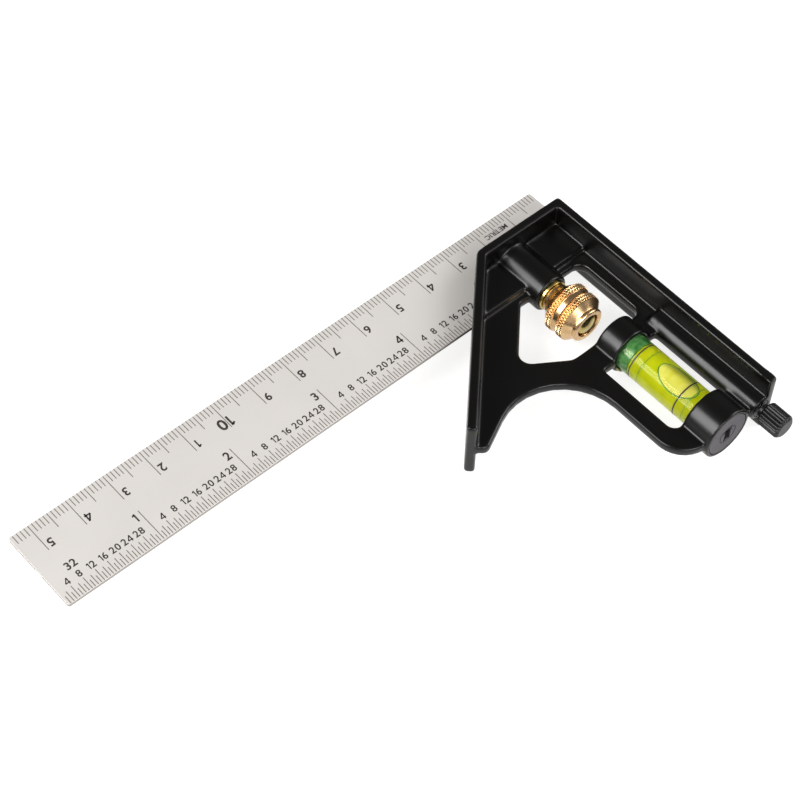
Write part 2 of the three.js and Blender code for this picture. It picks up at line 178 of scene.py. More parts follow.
def two_tone(tree, value, first, second):
    """A colour between two hex colours, picked by a pattern."""
    made = add_node(tree, "ShaderNodeMix", {"data_type": "RGBA"}, {"Factor": value})
    made.inputs[6].default_value = linear(first)
    made.inputs[7].default_value = linear(second)
    return made.outputs[2]


def bump(tree, height, depth):
    """Surface relief that is depth metres deep."""
    made = add_node(tree, "ShaderNodeBump", inputs={"Height": height, "Distance": depth})
    return made.outputs["Normal"]


def satin_chromed_steel():
    """Rolled spring steel, ground lengthwise and satin chromed: an even, pale warm grey with a soft sheen
    and fine scratches that run along the blade. Its sheared sides are a duller metal, and darker by
    painted shade."""
    material, tree = new_material("satin chromed steel")
    # Grinding lines 0.12 mm apart and 15 mm long
    lines = noise(tree, pattern_place(tree, scale=(0.008, 1, 1)), 0.12 * MM, 2.0)
    # Cloudy patches 12 mm across, from the plating bath
    clouds = noise(tree, pattern_place(tree), 12 * MM)
    # How far a point stands from the middle of the blade's thickness tells a side from a face
    half = (BLADE_HIGH[2] - BLADE_LOW[2]) / 2
    from_middle = pattern_place(tree, centre=(0, 0, (BLADE_HIGH[2] + BLADE_LOW[2]) / 2))
    height = add_node(tree, "ShaderNodeSeparateXYZ", inputs={"Vector": from_middle})
    away = add_node(tree, "ShaderNodeMath", {"operation": "ABSOLUTE"}, {0: height.outputs["Z"]})
    face = add_node(
        tree,
        "ShaderNodeMapRange",
        inputs={"Value": away.outputs[0], "From Min": half - 0.1 * MM, "From Max": half - 0.04 * MM},
    )
    ground = two_tone(tree, clouds, "#cac6c1", "#cdc9c4")
    # The sides take the darker colour: painted shade, besides their duller metal
    colour = add_node(tree, "ShaderNodeMix", {"data_type": "RGBA"}, {"Factor": face.outputs["Result"]})
    colour.inputs[6].default_value = linear("#8f8985")
    tree.links.new(ground, colour.inputs[7])
    metallic = spread(tree, face.outputs["Result"], 0.35, 0.55)
    finish_material(tree, {
        "Base Color": colour.outputs[2],
        "Metallic": metallic,
        "Roughness": spread(tree, clouds, 0.52, 0.54),
        "Normal": bump(tree, lines, 0.002 * MM),
    })
    return material


def etched_line_colour():
    """Etched and darkened graduations: a matt grey brown that lets a little of the steel through."""
    material, tree = new_material("etched graduations")
    # Uneven etching, in grains of 0.2 mm
    grains = noise(tree, pattern_place(tree), 0.2 * MM)
    finish_material(tree, {
        "Base Color": two_tone(tree, grains, "#57504a", "#6f675f"),
        "Metallic": 0.35,
        "Roughness": 0.6,
    })
    return material


def etched_number_colour():
    """Etched numbers filled with black: darker than the lines, and matt."""
    material, tree = new_material("black filled numbers")
    grains = noise(tree, pattern_place(tree), 0.2 * MM)
    finish_material(tree, {
        "Base Color": two_tone(tree, grains, "#1d1a18", "#2b2724"),
        "Roughness": 0.6,
    })
    return material


def black_stoved_enamel():
    """Die-cast zinc under stoved black enamel: deep warm black, with a soft broad sheen on round parts
    and a thin light line along each softened edge."""
    material, tree = new_material("black stoved enamel")
    # The flow of the enamel, in ripples of 1.5 mm, and dust nibs of 0.25 mm
    flow = noise(tree, pattern_place(tree), 1.5 * MM, 1.0)
    nibs = noise(tree, pattern_place(tree), 0.25 * MM, 1.0)
    relief = add_node(
        tree,
        "ShaderNodeMath",
        {"operation": "MULTIPLY_ADD"},
        {0: nibs, 1: 0.3, 2: flow},
    )
    patches = noise(tree, pattern_place(tree), 9 * MM)
    finish_material(tree, {
        "Base Color": two_tone(tree, patches, "#040403", "#060504"),
        "Roughness": spread(tree, patches, 0.27, 0.32),
        "Specular IOR Level": 0.28,
        "Normal": bump(tree, relief.outputs[0], 0.006 * MM),
    })
    return material


def turned_brass():
    """Free-cutting brass, turned and knurled, left bright: warm gold with fine rings round its axis and
    a deeper, browner tone where it has been handled."""
    material, tree = new_material("turned brass")
    # Tool marks 0.15 mm apart: noise squeezed along the axis and stretched round it
    rings = noise(tree, pattern_place(tree, scale=(0.06, 1, 0.06)), 0.15 * MM, 2.0)
    # Tarnish in patches 3 mm across
    tarnish = noise(tree, pattern_place(tree), 3 * MM)
    finish_material(tree, {
        "Base Color": two_tone(tree, spread(tree, tarnish, 0.0, 1.0), "#ddbb8c", "#c49e71"),
        "Metallic": 1.0,
        "Roughness": spread(tree, tarnish, 0.23, 0.31),
        "Normal": bump(tree, rings, 0.003 * MM),
    })
    return material


def yellow_zinc_plate():
    """Turned steel with yellow passivated zinc: greenish gold, shifting a little from place to place."""
    material, tree = new_material("yellow zinc plate")
    # The passivation's tint changes over about 2 mm
    tint = noise(tree, pattern_place(tree), 2 * MM)
    rings = noise(tree, pattern_place(tree, scale=(0.1, 1, 0.1)), 0.15 * MM, 2.0)
    finish_material(tree, {
        "Base Color": two_tone(tree, spread(tree, tint, 0.0, 1.0), "#c9b774", "#a48f4c"),
        "Metallic": 1.0,
        "Roughness": 0.26,
        "Normal": bump(tree, rings, 0.002 * MM),
    })
    return material


def drawn_spring_wire():
    """Hard-drawn steel wire: dull grey with faint die lines."""
    material, tree = new_material("drawn spring wire")
    grains = noise(tree, pattern_place(tree), 0.3 * MM)
    finish_material(tree, {
        "Base Color": two_tone(tree, grains, "#8c8f94", "#a2a5a9"),
        "Metallic": 1.0,
        "Roughness": 0.34,
        "Normal": bump(tree, grains, 0.002 * MM),
    })
    return material


def ground_tool_steel():
    """Hardened and ground scriber steel: bright, with fine rings from grinding."""
    material, tree = new_material("ground tool steel")
    rings = noise(tree, pattern_place(tree, scale=(0.1, 1, 0.1)), 0.1 * MM, 2.0)
    finish_material(tree, {
        "Base Color": two_tone(tree, rings, "#bcbec1", "#cbccce"),
        "Metallic": 1.0,
        "Roughness": 0.2,
        "Normal": bump(tree, rings, 0.001 * MM),
    })
    return material


def clear_acrylic():
    """Polished acrylic rod, bored for the liquid: it looks tinted by what it holds."""
    material, tree = new_material("clear acrylic")
    # Faint waviness of 2 mm left by polishing
    waves = noise(tree, pattern_place(tree), 2 * MM, 1.0)
    finish_material(tree, {
        "Base Color": linear("#f6f8c8"),
        "Roughness": 0.06,
        "IOR": 1.49,
        "Specular Tint": linear("#7c7c70"),
        "Transmission Weight": 1.0,
        "Normal": bump(tree, waves, 0.002 * MM),
    })
    return material


def fluorescent_liquid():
    """Spirit dyed with a fluorescent yellow green, with a faint painted glow that makes it seem lit from
    inside; deeper green in the shade.
    """
    material, tree = new_material("liquid with painted glow")
    # The glow is a little uneven over 4 mm
    glow = noise(tree, pattern_place(tree), 4 * MM, 1.0)
    finish_material(tree, {
        "Base Color": two_tone(tree, spread(tree, glow, 0.0, 1.0), "#bcc414", "#d0d126"),
        "Roughness": 0.12,
        "IOR": 1.36,
        "Specular Tint": linear("#7c7c70"),
        "Transmission Weight": 0.35,
        # Emission: a painted glow, so the liquid lights itself a little
        "Emission Color": linear("#cdd410"),
        "Emission Strength": 0.14,
    })
    return material


def air_in_liquid():
    """The air bubble: paler than the liquid, and greyer towards its right side by painted shade, where the
    wall of the liquid turns away from the light."""
    material, tree = new_material("air bubble")
    place = pattern_place(tree, centre=(VIAL_AXIS[0], 0, 0))
    glow = noise(tree, place, 2.5 * MM, 1.0)
    across = add_node(tree, "ShaderNodeSeparateXYZ", inputs={"Vector": place})
    # Painted shade: the colour greys towards the bubble's right side
    shade = add_node(
        tree,
        "ShaderNodeMapRange",
        inputs={"Value": across.outputs["X"], "From Min": 0.2 * MM, "From Max": 2.6 * MM},
    )
    pale = two_tone(tree, spread(tree, glow, 0.0, 1.0), "#d6cf52", "#e2dc7c")
    colour = add_node(tree, "ShaderNodeMix", {"data_type": "RGBA"}, {"Factor": shade.outputs["Result"]})
    tree.links.new(pale, colour.inputs[6])
    colour.inputs[7].default_value = linear("#77802e")
    finish_material(tree, {
        "Base Color": colour.outputs[2],
        "Roughness": 0.3,
        "IOR": 1.36,
        "Specular IOR Level": 0.2,
    })
    return material


def green_end_plug():
    """Moulded translucent plastic at the vial's ends: solid mid green."""
    material, tree = new_material("green vial end")
    clouds = noise(tree, pattern_place(tree), 1.5 * MM, 1.0)
    finish_material(tree, {
        "Base Color": two_tone(tree, spread(tree, clouds, 0.0, 1.0), "#2c7440", "#6aa67a"),
        "Roughness": 0.25,
        "Subsurface Weight": 0.3,
        "Subsurface Radius": (0.001, 0.002, 0.001),
        "Subsurface Scale": 0.5,
    })
    return material


def line_paint(name, hex_colour):
    """Thin paint for the rings round the vial, and for the painted green outline and ring images in it:
    even and matt.
    """
    material, tree = new_material(name)
    grains = noise(tree, pattern_place(tree), 0.2 * MM, 1.0)
    finish_material(tree, {
        "Base Color": linear(hex_colour),
        "Roughness": spread(tree, grains, 0.45, 0.6),
    })
    return material


def cured_adhesive():
    """A bead of cured adhesive: dull olive and lumpy."""
    material, tree = new_material("cured adhesive")
    lumps = noise(tree, pattern_place(tree), 0.7 * MM)
    finish_material(tree, {
        "Base Color": two_tone(tree, spread(tree, lumps, 0.0, 1.0), "#4f4d12", "#83801f"),
        "Roughness": 0.4,
        "Normal": bump(tree, lumps, 0.08 * MM),
    })
    return material


def black_rubber():
    """Cut rubber sheet: flat black with an open grain."""
    material, tree = new_material("black rubber")
    grain = noise(tree, pattern_place(tree), 0.3 * MM)
    finish_material(tree, {
        "Base Color": linear("#1c1b1b"),
        "Roughness": 0.85,
        "Normal": bump(tree, grain, 0.02 * MM),
    })
    return material


def moulded_grey_plastic():
    """Moulded ABS, spark-textured: a matt dark grey with a touch of purple, and a fine grain."""
    material, tree = new_material("moulded dark grey plastic")
    # Texture grain 0.3 mm across
    grain = noise(tree, pattern_place(tree), 0.3 * MM)
    clouds = noise(tree, pattern_place(tree), 4 * MM)
    finish_material(tree, {
        "Base Color": two_tone(tree, clouds, "#29252a", "#322e33"),
        "Roughness": spread(tree, clouds, 0.5, 0.58),
        "Normal": bump(tree, grain, 0.012 * MM),
    })
    return material


def moulded_black_plastic():
    """Moulded black nylon for the knob: satin, with worn, slightly paler ridges."""
    material, tree = new_material("moulded black plastic")
    grain = noise(tree, pattern_place(tree), 0.25 * MM)
    wear = noise(tree, pattern_place(tree), 1.2 * MM)
    finish_material(tree, {
        "Base Color": two_tone(tree, spread(tree, wear, 0.0, 1.0), "#060606", "#0d0c0d"),
        "Roughness": 0.4,
        "Specular IOR Level": 0.3,
        "Normal": bump(tree, grain, 0.01 * MM),
    })
    return material


# ---------------------------------------------------------------- surfaces


def object_from(name, points, faces):
    """A linked mesh object from point and face lists, with its doubles merged, its faces outwards, and
    smooth shading that breaks at corners."""
    mesh = bpy.data.meshes.new(name)
    mesh.from_pydata(np.asarray(points).reshape(-1, 3).tolist(), [], faces)
    made = bmesh.new()
    made.from_mesh(mesh)
    bmesh.ops.remove_doubles(made, verts=made.verts, dist=SURFACE_MERGE)
    bmesh.ops.dissolve_degenerate(made, edges=made.edges, dist=0.0001 * MM)
    bmesh.ops.recalc_face_normals(made, faces=made.faces)
    made.to_mesh(mesh)
    made.free()
    mesh.shade_smooth()
    mesh.set_sharp_from_angle(angle=SMOOTH_ANGLE)
    piece = bpy.data.objects.new(name, mesh)
    bpy.context.scene.collection.objects.link(piece)
    return piece


def grid_faces(rows, columns, close_rows=False):
    """The quads of a grid whose columns always close on themselves, and whose rows may."""
    row = np.arange(rows if close_rows else rows - 1)[:, None]
    column = np.arange(columns)[None, :]
    next_row = (row + 1) % rows
    next_column = (column + 1) % columns
    corners = [
        row * columns + column,
        row * columns + next_column,
        next_row * columns + next_column,
        next_row * columns + column,
    ]
    return np.stack(corners, axis=-1).reshape(-1, 4).tolist()


def soften(profile, radius, steps=4, closed=False):
    """A profile with its corners rounded. Each corner P becomes the curve (1-t)^2 A + 2t(1-t) P + t^2 B,
    where A and B lie radius away from P on its two legs, or less than half a leg away."""
    corners = np.array(profile, float)
    before = np.roll(corners, 1, axis=0)
    after = np.roll(corners, -1, axis=0)

    def towards(other):
        leg = other - corners
        length = np.linalg.norm(leg, axis=1, keepdims=True)
        return corners + leg * np.minimum(radius / np.maximum(length, 1e-9), 0.45)

    t = np.linspace(0, 1, steps + 1)[None, :, None]
    start = towards(before)[:, None]
    end = towards(after)[:, None]
    curve = (1 - t) ** 2 * start + 2 * t * (1 - t) * corners[:, None] + t ** 2 * end
    if not closed:
        curve[0] = corners[0]
        curve[-1] = corners[-1]
    return curve.reshape(-1, 2)


def fine_profile(profile, step):
    """A profile with points added along its legs, so that none is longer than step, which may be one
    length for all or a length for each leg."""
    corners = np.array(profile, float)
    lengths = np.linalg.norm(np.diff(corners, axis=0), axis=1)
    counts = np.maximum(1, np.ceil(lengths / step)).astype(int)
    legs = [
        corners[index] + (corners[index + 1] - corners[index]) * np.arange(count)[:, None] / count
        for index, count in enumerate(counts)
    ]
    return np.vstack([*legs, corners[-1:]])


def turned_piece(name, profile, axis, sides=64, closed=False, relief=None):
    """A piece turned about a line that runs down the head. Where the profile is r at depth d, the point
    at angle a is (x + r sin a, seat - d, z + r cos a). relief(r, d, a) is added to r. A profile starts
    and ends on the axis, or closes on itself. Profile and relief are in millimetres."""
    radius, depth = np.array(profile, float).T
    angle = np.linspace(0, 2 * np.pi, sides, endpoint=False)[None, :]
    radius = np.repeat(radius[:, None], sides, axis=1)
    depth = np.repeat(depth[:, None], sides, axis=1)
    if relief:
        radius = radius + relief(radius, depth, angle)
    points = np.stack([
        axis[0] + radius * MM * np.sin(angle),
        SEAT - depth * MM,
        axis[1] + radius * MM * np.cos(angle),
    ], axis=-1)
    return object_from(name, points, grid_faces(len(points), sides, closed))


def carried_piece(name, path, width, sides=12, loop=False):
    """A round bar carried along a path of points: at each point the section is the circle
    n cos a + b sin a, with n and b square to the path. The ends are drawn in to points, or the path
    is a loop."""
    direction = np.gradient(path, axis=0)
    if loop:
        direction = np.roll(path, -1, axis=0) - np.roll(path, 1, axis=0)
    direction /= np.linalg.norm(direction, axis=1, keepdims=True)
    normal = np.cross(direction, [0, 0, 1] if loop else [0, 1, 0])
    normal /= np.linalg.norm(normal, axis=1, keepdims=True)
    binormal = np.cross(direction, normal)
    angle = np.linspace(0, 2 * np.pi, sides, endpoint=False)[None, :, None]
    radius = np.broadcast_to(np.asarray(width, float), (len(path),))[:, None, None].copy()
    ring = radius * (normal[:, None] * np.cos(angle) + binormal[:, None] * np.sin(angle))
    points = path[:, None] + ring
    if loop:
        return object_from(name, points, grid_faces(len(points), sides, True))
    first = np.repeat(path[:1, None], sides, axis=1)
    last = np.repeat(path[-1:, None], sides, axis=1)
    points = np.concatenate([first, points, last])
    return object_from(name, points, grid_faces(len(points), sides))


def softened_copy(node, name, width, segments=2):
    """A CAD node's solid as a new piece: doubles merged, flat areas rejoined, and edges beveled."""
    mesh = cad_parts[node].data.copy()
    mesh.name = name
    mesh.materials.clear()
    copy = bmesh.new()
    copy.from_mesh(mesh)
    bmesh.ops.remove_doubles(copy, verts=copy.verts, dist=CAD_MERGE)
    bmesh.ops.dissolve_limit(
        copy,
        angle_limit=math.radians(1),
        verts=copy.verts,
        edges=copy.edges,
    )
    copy.to_mesh(mesh)
    copy.free()
    mesh.shade_smooth()
    mesh.set_sharp_from_angle(angle=SMOOTH_ANGLE)
    piece = bpy.data.objects.new(name, mesh)
    bpy.context.scene.collection.objects.link(piece)
    bevel = piece.modifiers.new("softened edges", "BEVEL")
    bevel.width = width
    bevel.segments = segments
    bevel.limit_method = "ANGLE"
    bevel.angle_limit = math.radians(35)
    bevel.harden_normals = True
    return piece


def settle(piece, body, material, nodes=()):
    """Gives a piece its material, makes it ride on a body and stand for its CAD nodes."""
    piece.data.materials.append(material)
    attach(piece, body)
    if nodes:
        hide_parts(*nodes)


# ---------------------------------------------------------------- blade


class BladeSettings(bpy.types.PropertyGroup):
    edge: bpy.props.FloatProperty(
        name="Edge softening",
        description="Width of the tiny bevel along the blade's edges",
        default=0.08 * MM,
        unit="LENGTH",
    )
    line_width: bpy.props.FloatProperty(
        name="Line width",
        description="Width of one graduation",
        default=0.2 * MM,
        unit="LENGTH",
    )
    mark_height: bpy.props.FloatProperty(
        name="Mark height",
        description="How far the filled marks stand above the steel",
        default=0.012 * MM,
        unit="LENGTH",
    )
    number_height: bpy.props.FloatProperty(
        name="Number height",
        description="Height of the centimetre and inch numbers",
        default=2.35 * MM,
        unit="LENGTH",
    )
    small_number_height: bpy.props.FloatProperty(
        name="Small number height",
        description="Height of the numbers that count the thirty-seconds of an inch",
        default=1.85 * MM,
        unit="LENGTH",
    )


class SQUARE_OT_blade(bpy.types.Operator):
    """Makes the steel blade with softened edges"""

    bl_idname = "square.blade"
    bl_label = "Blade"

    def execute(self, context):
        settings = context.scene.square_blade
        piece = softened_copy("blade", "ground_blade", settings.edge)
        settle(piece, "blade", satin_chromed_steel(), ["blade"])
        return {"FINISHED"}


def bars(places, ends, width, height):
    """Thin upright bars on the blade. Each is a box centred on its X, from one Y to another, sunk a
    little into the steel. Returns the corners, eight to a bar, and the faces."""
    places = np.asarray(places, float)[:, None]
    ends = np.asarray(ends, float)
    side = np.array([-1, 1, 1, -1, -1, 1, 1, -1]) * width / 2
    which_end = np.array([0, 0, 1, 1, 0, 0, 1, 1])
    level = np.array([-height] * 4 + [height] * 4)
    corners = np.stack([
        places + side,
        ends[:, which_end],
        np.broadcast_to(BLADE_HIGH[2] + level, (len(places), 8)),
    ], axis=-1)
    faces = np.array([[0, 3, 2, 1], [4, 5, 6, 7], [0, 1, 5, 4], [1, 2, 6, 5], [2, 3, 7, 6], [3, 0, 4, 7]])
    first = 8 * np.arange(len(places))[:, None, None]
    return corners.reshape(-1, 3), (first + faces).reshape(-1, 4).tolist()


def metric_lines():
    """The millimetre lines from the upper edge: X is a whole number of millimetres from the blade's right
    end, and every fifth and tenth line is longer."""
    count = np.arange(1, 155)
    length = np.where(count % 10 == 0, 8.1, np.where(count % 5 == 0, 4.6, 2.6)) * MM
    places = BLADE_HIGH[0] - count * MM
    top = BLADE_HIGH[1] - 0.1 * MM
    return places, np.stack([BLADE_HIGH[1] - length, np.full(len(count), top)], axis=1)


def inch_lines():
    """The lines of a thirty-second of an inch from the lower edge, longer at each sixteenth, eighth and
    inch, counted from the blade's left end."""
    count = np.arange(1, 195)
    length = np.select(
        [count % 32 == 0, count % 4 == 0, count % 2 == 0],
        [9.6, 3.55, 3.05],
        2.2,
    ) * MM
    places = BLADE_LOW[0] + count * INCH / 32
    low = BLADE_LOW[1] + 0.1 * MM
    return places, np.stack([np.full(len(count), low), BLADE_LOW[1] + length], axis=1)


def font_glyph(character, weight):
    """One character of the built-in typeface as a plate 2 thick, its outline moved out by weight."""
    curve = bpy.data.curves.new("lettering", "FONT")
    curve.body = character
    curve.extrude = 1.0
    curve.offset = weight
    curve.resolution_u = 4
    carrier = bpy.data.objects.new("lettering", curve)
    bpy.context.scene.collection.objects.link(carrier)
    bpy.context.view_layer.update()
    mesh = bpy.data.meshes.new_from_object(carrier)
    points = np.empty(3 * len(mesh.vertices))
    mesh.vertices.foreach_get("co", points)
    faces = [list(polygon.vertices) for polygon in mesh.polygons]
    bpy.data.objects.remove(carrier)
    bpy.data.meshes.remove(mesh)
    bpy.data.curves.remove(curve)
    return points.reshape(-1, 3), faces


# Sizes of the lettering, in the typeface's own unit: how far the outlines of big and small numbers are
# moved out, half a drawn stroke's width before that, and the gaps between characters
BIG_WEIGHT = 0.024
SMALL_WEIGHT = 0.018
HALF_STROKE = 0.036
GAP = 0.09
WIDE_GAP = 0.16
# The width of the characters, as a share of the typeface's
NARROWING = 0.98

STROKES = {
    "1": [((0.20, 0.0), (0.20, 0.70)), ((0.20, 0.67), (0.02, 0.54))],
    "4": [((0.36, 0.0), (0.36, 0.70)), ((0.36, 0.68), (0.02, 0.19)), ((0.0, 0.19), (0.48, 0.19))],
}


def stroke_figure(character, weight):
    """A figure made of straight strokes, each a box from one point to another, for the two figures
    that the built-in typeface draws without a flag or an open counter."""
    half = HALF_STROKE + weight
    around = np.array([[-1, -1], [1, -1], [1, 1], [-1, 1]])
    points = []
    faces = []
    for start, end in np.array(STROKES[character]):
        along = (end - start) / np.linalg.norm(end - start) * half
        across = np.array([-along[1], along[0]])
        middle = (start + end) / 2
        reach = (end - start) / 2
        corners = middle + around[:, :1] * reach + around[:, 1:] * across
        first = len(points) * 4
        points.extend(np.column_stack([corners, np.full(4, level)]) for level in (-1.0, 1.0))
        sides = [[side, (side + 1) % 4, (side + 1) % 4 + 4, side + 4] for side in range(4)]
        box = [[3, 2, 1, 0], [4, 5, 6, 7], *sides]
        faces.extend([first + index for index in face] for face in box)
    return np.vstack(points), faces


def lettering(text, height, place, narrow, turned, thickness, weight):
    """One word or number as a solid plate: its middle at place, its ink of the given height, narrowed
    sideways, and turned half round if it is to be read from the other edge."""
    all_points = []
    faces = []
    pen = 0.0
    gap = WIDE_GAP if text == "10" else GAP
    for character in text:
        draw = stroke_figure if character in STROKES else font_glyph
        points, glyph_faces = draw(character, weight)
        points[:, 0] += pen - points[:, 0].min()
        first = sum(len(part) for part in all_points)
        faces.extend([first + index for index in face] for face in glyph_faces)
        all_points.append(points)
        pen = points[:, 0].max() + gap
    points = np.vstack(all_points)
    low = points.min(axis=0)
    high = points.max(axis=0)
    scale = height / (high[1] - low[1])
    turn = -1 if turned else 1
    points = (points - (low + high) / 2) * [turn * scale * narrow, turn * scale, thickness]
    return points + [*place, BLADE_HIGH[2]], faces


def scale_words():
    """What is written on the blade: text, height as a share of a number's, X, Y and whether it is turned.
    Metric numbers hang from the upper edge to the right of their lines; inch numbers stand to the left
    of theirs, and small numbers count every fourth thirty-second."""
    settings = bpy.context.scene.square_blade
    big = settings.number_height
    words = []
    for centimetre in range(1, 16):
        line = BLADE_HIGH[0] - 10 * centimetre * MM
        if centimetre == 10:
            words.append(("10", 1.38 * big, line - 0.4 * MM, BLADE_HIGH[1] - 6.3 * MM, True))
        else:
            number = str(centimetre % 10)
            words.append((number, big, line + 1.5 * MM, BLADE_HIGH[1] - 6.7 * MM, True))
    for inch in range(1, 7):
        line = BLADE_LOW[0] + inch * INCH
        words.append((str(inch), big, line - 1.6 * MM, BLADE_LOW[1] + 8.35 * MM, False))
    for count in range(4, 192, 4):
        if count % 32:
            place = BLADE_LOW[0] + count * INCH / 32
            height = settings.small_number_height
            words.append((str(count % 32), height, place, BLADE_LOW[1] + 5.0 * MM, False))
    words.append(("32", 0.9 * big, BLADE_LOW[0] + 8 * INCH / 32, BLADE_LOW[1] + 8.0 * MM, False))
    words.append(("METRIC", 0.62 * big, BLADE_HIGH[0] - 14.9 * MM, BLADE_HIGH[1] - 4.0 * MM, True))
    return words


class SQUARE_OT_graduations(bpy.types.Operator):
    """Makes the lines and numbers of the two scales"""

    bl_idname = "square.graduations"
    bl_label = "Graduations"

    def execute(self, context):
        settings = context.scene.square_blade
        places = []
        ends = []
        for lines in (metric_lines(), inch_lines()):
            places.extend(lines[0])
            ends.extend(lines[1])
        points, faces = bars(places, ends, settings.line_width, settings.mark_height)
        marks = object_from("scale_lines", points, faces)
        settle(marks, "blade", etched_line_colour())

        all_points = []
        all_faces = []
        first = 0
        for text, height, x, y, turned in scale_words():
            weight = BIG_WEIGHT if height > settings.small_number_height else SMALL_WEIGHT
            points, faces = lettering(
                text, height, (x, y), NARROWING, turned, settings.mark_height, weight
            )
            all_points.append(points)
            all_faces.extend([first + index for index in face] for face in faces)
            first += len(points)
        numbers = object_from("scale_numbers", np.vstack(all_points), all_faces)
        settle(numbers, "blade", etched_number_colour())
        return {"FINISHED"}


# ---------------------------------------------------------------- head


class HeadSettings(bpy.types.PropertyGroup):
    edge_radius: bpy.props.FloatProperty(
        name="Edge radius",
        description="Radius of the casting's outer edges, in millimetres",
        default=0.5,
    )
    boss_radius: bpy.props.FloatProperty(
        name="Boss edge radius",
        description="Radius of the edges at the ends of the round bosses, in millimetres",
        default=0.3,
    )
    crease_radius: bpy.props.FloatProperty(
        name="Crease radius",
        description="Radius of the fillets in the casting's inner corners, in millimetres",
        default=0.3,
    )
    grain: bpy.props.FloatProperty(
        name="Grid step",
        description="Step of the distance field that rounds the casting, in millimetres",
        default=0.2,
    )


class DistanceField:
    """A solid as signed distances on a regular grid, in millimetres. Below zero is inside."""

    margin = 3.0

    def __init__(self, step):
        self.step = step
        self.low = np.floor((HEAD_LOW / MM - self.margin) / step).astype(int)
        high = np.ceil((HEAD_HIGH / MM + self.margin) / step).astype(int)
        self.shape = tuple(high - self.low)
        axes = [self.low[axis] + np.arange(self.shape[axis]) for axis in range(3)]
        self.x = (axes[0] * step)[:, None, None].astype(np.float32)
        self.y = (axes[1] * step)[None, :, None].astype(np.float32)
        self.z = (axes[2] * step)[None, None, :].astype(np.float32)

    def grid_of(self, points, triangles, quads):
        """A distance grid of a closed mesh, exact within eight steps of its surface."""
        place = openvdb.createLinearTransform(voxelSize=self.step)
        return openvdb.FloatGrid.createLevelSetFromPolygons(
            points.astype(np.float32),
            triangles=triangles.astype(np.uint32),
            quads=quads.astype(np.uint32),
            transform=place,
            halfWidth=8,
        )

    def values(self, grid):
        """A grid's distances as one array."""
        array = np.empty(self.shape, np.float32)
        grid.copyToArray(array, ijk=tuple(int(part) for part in self.low))
        return array

    def grid_from(self, array):
        """A grid that holds the distances of an array."""
        grid = openvdb.FloatGrid(8 * self.step)
        grid.transform = openvdb.createLinearTransform(voxelSize=self.step)
        grid.gridClass = openvdb.GridClass.LEVEL_SET
        grid.copyFromArray(array, ijk=tuple(int(part) for part in self.low))
        return grid

    def offset(self, grid, distance):
        """The grid of the surface that lies distance outside this one."""
        points, quads = grid.convertToQuads(distance)
        none = np.empty((0, 3))
        return self.grid_of(points, none, quads)

    def box(self, low, high):
        """Distance to a box: the largest of the six distances past its sides."""
        parts = [
            np.maximum(low[axis] - place, place - high[axis])
            for axis, place in enumerate((self.x, self.y, self.z))
        ]
        return np.maximum(np.maximum(parts[0], parts[1]), parts[2])

    def bar(self, axis, radius, start, end):
        """Distance to a round bar that runs down the head between two depths."""
        across = np.hypot(self.x - axis[0] / MM, self.z - axis[1] / MM) - radius
        depth = SEAT / MM - self.y
        along = np.maximum(start - depth, depth - end)
        return np.maximum(across, along)


def casting_cuts(field):
    """The machined openings of the head, as distances: the blade's slot, the hook's and the bolt's way,
    the spring's pocket, the vial's pocket, the plug's seat, the scriber's bore and its bush's seat."""
    blade_low = BLADE_LOW / MM
    blade_high = BLADE_HIGH / MM
    gap = 0.15
    past = 2.0
    seat = SEAT / MM
    slot = field.box(
        (HEAD_LOW[0] / MM, blade_low[1] - 2 * gap, blade_low[2] - gap),
        (FACE_90 / MM + past, seat + past, blade_high[2] + gap),
    )
    slot_end = SEAT / MM - blade_low[1] + 2 * gap
    spring_start = depth_of("bolt_spring")[0] / MM - gap
    boss_end = depth_of("nut_washer")[0] / MM - 0.05
    pocket_start = depth_of("vial_tube")[0] / MM - 0.6
    plug_start = depth_of("holder_plug")[0] / MM - 0.1
    end = depth_of("holder_plug")[1] / MM + 0.1
    bush_start = depth_of("scriber_bush")[0] / MM - 0.1
    needle_start = depth_of("scriber_needle")[0] / MM - 2
    hook_way = np.maximum(field.bar(BOLT_AXIS, 2.3, -past, slot_end), field.z - MIDDLE / MM)
    return [
        slot,
        hook_way,
        field.bar(BOLT_AXIS, 2.3, slot_end - 0.3, boss_end + past),
        field.bar(BOLT_AXIS, 3.5, spring_start, boss_end + past),
        field.bar(VIAL_AXIS, 5.05, pocket_start, end + past),
        field.bar(VIAL_AXIS, 6.0, plug_start, end + past),
        field.bar(SCRIBER_AXIS, 1.3, needle_start, end + past),
        field.bar(SCRIBER_AXIS, 2.35, bush_start, end + past),
    ]


def casting_limits(field):
    """Distance to the space that the filled casting may take up: inside the seat, the two faces and
    the ends of its bosses."""
    depth = SEAT / MM - field.y
    corner = FACE_90 / MM - 26.8
    slant = (corner - field.x - depth) / math.sqrt(2)
    boss_end = depth_of("nut_washer")[0] / MM - 0.05
    near_bolt = np.abs(field.x - BOLT_AXIS[0] / MM) < 6
    below_boss = np.where(near_bolt & (depth > 14) & (depth < 25), depth - boss_end, -9.0)
    near_vial = np.abs(field.x - VIAL_AXIS[0] / MM) < 8
    window = np.where(near_vial, np.minimum(depth - 41.2, 64.0 - depth), -9.0)
    parts = [field.x - FACE_90 / MM, -depth, depth - 72.4, slant, below_boss, window]
    limit = parts[0]
    for part in parts[1:]:
        limit = np.maximum(limit, part)
    return limit


